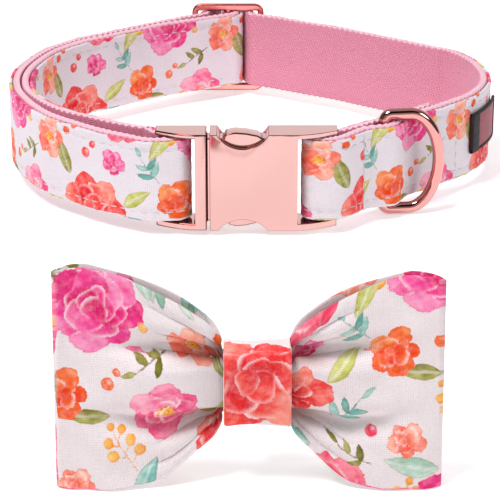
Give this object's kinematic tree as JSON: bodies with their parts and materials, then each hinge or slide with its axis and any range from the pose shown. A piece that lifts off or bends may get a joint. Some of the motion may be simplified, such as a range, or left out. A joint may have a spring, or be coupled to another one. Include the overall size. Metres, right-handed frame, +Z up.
{
  "type": "pet bow tie collar",
  "caption": "Fabric-covered webbing collar closed in a loop by a side-release buckle, with a slider, a swinging D-ring, a plain label and a detached bow tie.",
  "frame": {"origin": "middle of the whole box, on the floor that the collar and the bow stand on", "axes": "-Y is the front, where the bow stands and the buckle faces; +Y runs to the slider at the back; +X runs to the D-ring's side; +Z up"},
  "size_m": [0.1486, 0.2952, 0.0503],
  "materials": {
    "webbing": "matte",
    "cover": "matte",
    "buckle_tongue": "polished",
    "buckle_housing": "polished",
    "slider": "polished",
    "d_ring": "polished",
    "label": "satin",
    "bow_loop": "matte",
    "bow_knot": "matte",
    "bow_elastic": "matte"
  },
  "bodies": {
    "collar": {"webbing": "webbing", "cover": "cover", "buckle_tongue": "buckle_tongue", "buckle_housing": "buckle_housing", "slider": "slider", "label": "label", "bow_loop": "bow_loop", "bow_knot": "bow_knot", "bow_elastic": "bow_elastic"},
    "d_ring": {"d_ring": "d_ring"}
  },
  "joints": [
    {"name": "d_ring_hinge", "type": "hinge", "parent": "collar", "child": "d_ring", "pos_m": [0.03818, 0.02441, 0.0162], "axis": [0, 0, -1], "range_deg": [0, 100]}
  ]
}
